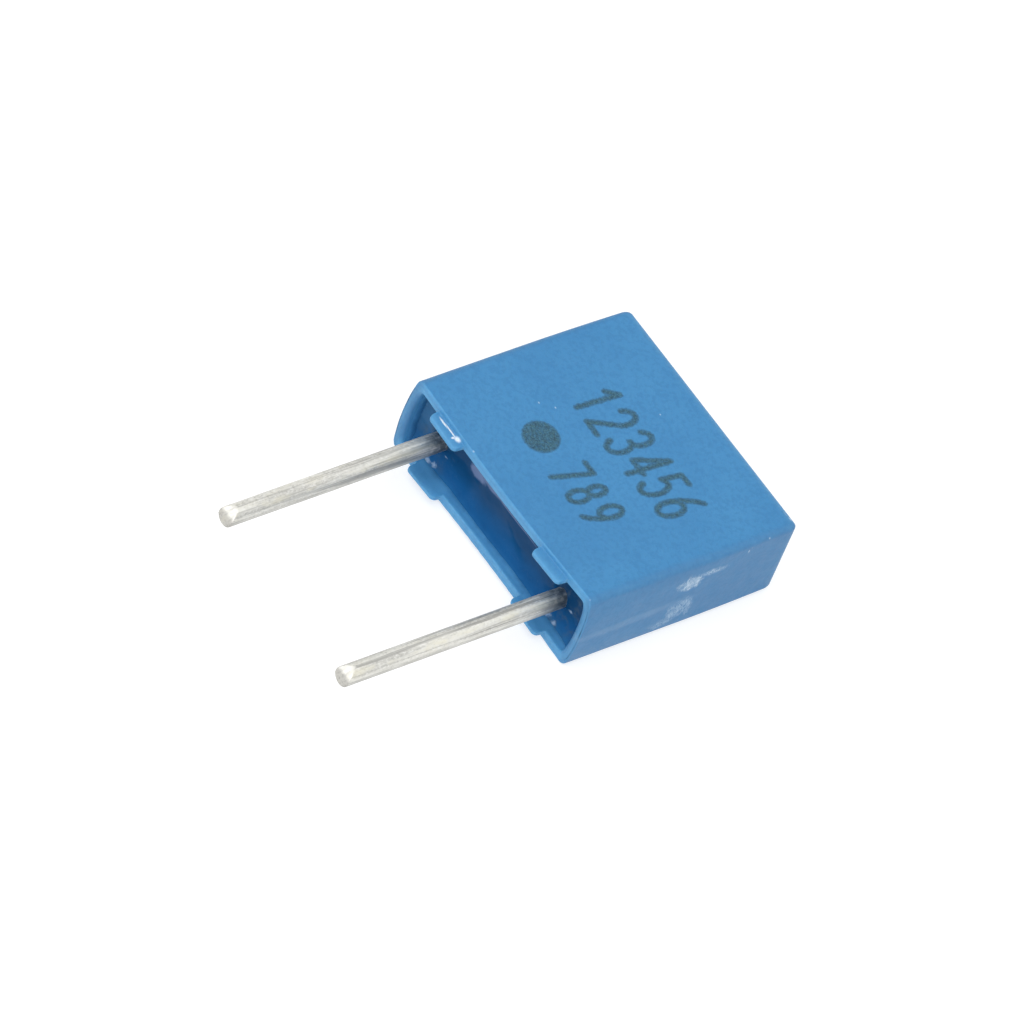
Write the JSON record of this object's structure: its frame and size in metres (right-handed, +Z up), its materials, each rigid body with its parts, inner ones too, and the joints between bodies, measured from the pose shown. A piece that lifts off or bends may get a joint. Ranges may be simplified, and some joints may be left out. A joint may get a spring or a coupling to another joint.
{
  "type": "box film capacitor",
  "caption": "Small box film capacitor: a thin moulded blue case, open on one narrow side and sealed with resin, with parallel round wire leads.",
  "frame": {"origin": "midway between the axes of the two leads, on the seating plane that the standoff tips touch", "axes": "+X along the row of leads, +Y from the leads to the closed end of the case, +Z up through the thickness; the part lies on one broad wall"},
  "size_m": [0.0074, 0.0123, 0.0024],
  "materials": {
    "case_plastic": "satin moulded plastic",
    "seal_resin": "glossy cast resin",
    "metallised_film": "stacked metallised film",
    "cover_film": "plain film",
    "sprayed_metal": "rough flame-sprayed metal",
    "tinned_wire": "dull tinned wire"
  },
  "bodies": {
    "root": {"case": "case_plastic", "seal_resin": "seal_resin", "film_stack": "metallised_film", "cover_film_upper": "cover_film", "cover_film_lower": "cover_film", "end_spray_left": "sprayed_metal", "end_spray_right": "sprayed_metal", "lead_left": "tinned_wire", "lead_right": "tinned_wire"}
  },
  "joints": []
}
